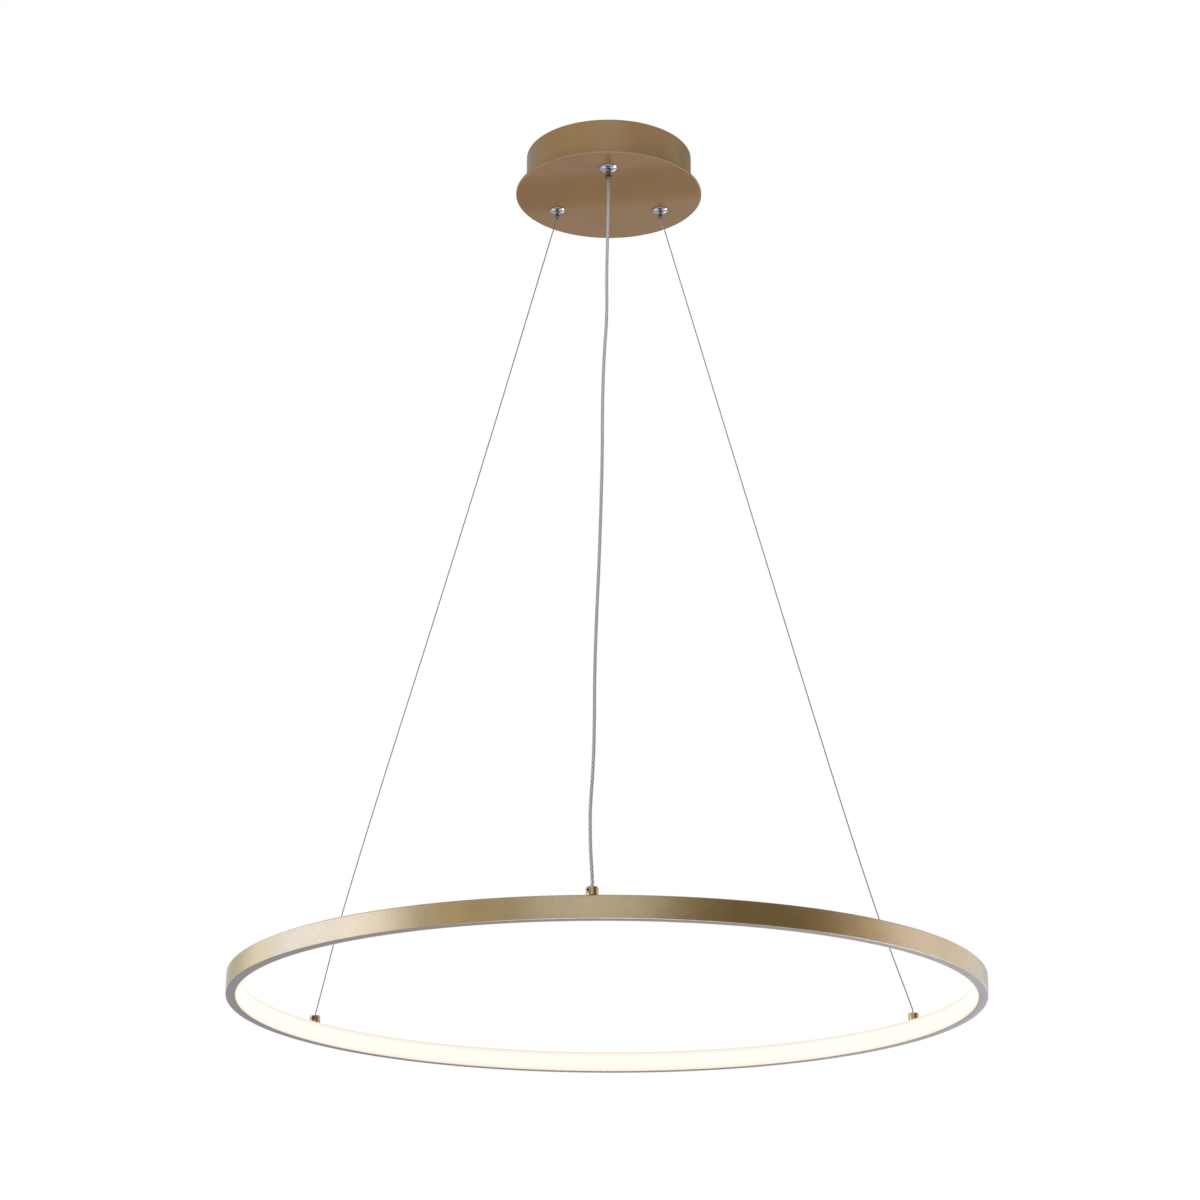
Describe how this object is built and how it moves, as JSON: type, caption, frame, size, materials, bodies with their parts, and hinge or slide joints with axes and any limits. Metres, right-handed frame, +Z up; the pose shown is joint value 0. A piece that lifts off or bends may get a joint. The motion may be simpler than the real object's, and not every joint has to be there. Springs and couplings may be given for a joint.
{
  "type": "ring pendant light",
  "caption": "Ring pendant light: a thin lit ring with an opal inner diffuser, hung by steel wires and a power cord from a round ceiling canopy with ball grippers that set its height.",
  "frame": {"origin": "on the ceiling plane at the middle of the canopy, where the bracket and the drum rim meet the ceiling", "axes": "+Z up, -Y to the front where the power cord hangs, +X to the right seen from the front"},
  "size_m": [0.5999, 0.6012, 0.751],
  "materials": {
    "champagne_aluminium": "satin champagne gold coat",
    "champagne_paint": "satin champagne gold paint",
    "opal_diffuser": "opal, lit from behind",
    "strip_white": "white solder mask",
    "led_phosphor": "phosphor",
    "polished_chrome": "polished",
    "zinc_steel": "zinc plated",
    "wire_steel": "stranded steel wire",
    "brass": "polished",
    "cord_sheath": "clear sheath over a metal braid",
    "driver_plastic": "moulded",
    "board_green": "solder mask",
    "component_black": "moulded",
    "lead_brown": "insulation",
    "lead_blue": "insulation",
    "lead_green_yellow": "insulation",
    "lead_black": "insulation"
  },
  "bodies": {
    "canopy": {"canopy_drum": "champagne_paint", "canopy_plate": "champagne_paint", "canopy_side_screws": "zinc_steel", "ceiling_bracket": "zinc_steel", "cord_grip_cap": "polished_chrome", "cord_grip_locknut": "zinc_steel", "cord_tail": "cord_sheath", "driver_board": "board_green", "driver_capacitors": "component_black", "driver_case": "driver_plastic", "driver_lid": "driver_plastic", "driver_transformer": "component_black", "earth_lead": "lead_green_yellow", "earth_lug": "zinc_steel", "earth_screw": "zinc_steel", "fixing_nuts": "zinc_steel", "grip_body_cord": "polished_chrome", "grip_body_left": "polished_chrome", "grip_body_right": "polished_chrome", "grip_spring_cord": "zinc_steel", "grip_spring_left": "zinc_steel", "grip_spring_right": "zinc_steel", "live_lead": "lead_brown", "neutral_lead": "lead_blue", "output_leads": "lead_black", "output_plug": "driver_plastic", "output_socket": "driver_plastic", "plate_nuts": "zinc_steel", "power_cord": "cord_sheath", "terminal_block": "driver_plastic", "terminal_inserts": "brass", "terminal_screws": "zinc_steel", "weld_studs": "zinc_steel", "wire_grip_caps": "polished_chrome", "wire_grip_locknuts": "zinc_steel", "wire_left": "wire_steel", "wire_right": "wire_steel"},
    "ring": {"ring_profile": "champagne_aluminium", "diffuser": "opal_diffuser", "led_strip": "strip_white", "led_chips": "led_phosphor", "hanger_blocks": "zinc_steel", "ferrule_cord": "brass", "ferrule_left": "brass", "ferrule_right": "brass", "ferrule_set_screws": "polished_chrome", "strip_leads": "lead_black"},
    "release_left": {"plunger_left": "polished_chrome", "release_collar_left": "polished_chrome", "grip_balls_left": "zinc_steel"},
    "release_right": {"plunger_right": "polished_chrome", "release_collar_right": "polished_chrome", "grip_balls_right": "zinc_steel"},
    "release_cord": {"plunger_cord": "polished_chrome", "release_collar_cord": "polished_chrome", "grip_balls_cord": "zinc_steel"}
  },
  "joints": [
    {"name": "height_adjust", "type": "slide", "parent": "canopy", "child": "ring", "axis": [0, 0, 1], "range_m": [0, 0.4], "deforming": ["wire_left", "wire_right", "power_cord"]},
    {"name": "release_left", "type": "slide", "parent": "canopy", "child": "release_left", "axis": [0, 0, 1], "range_m": [0, 0.0018], "stiffness_N_per_m": 500, "deforming": ["grip_spring_left"]},
    {"name": "release_right", "type": "slide", "parent": "canopy", "child": "release_right", "axis": [0, 0, 1], "range_m": [0, 0.0018], "stiffness_N_per_m": 500, "deforming": ["grip_spring_right"]},
    {"name": "release_cord", "type": "slide", "parent": "canopy", "child": "release_cord", "axis": [0, 0, 1], "range_m": [0, 0.0018], "stiffness_N_per_m": 500, "deforming": ["grip_spring_cord"]}
  ]
}
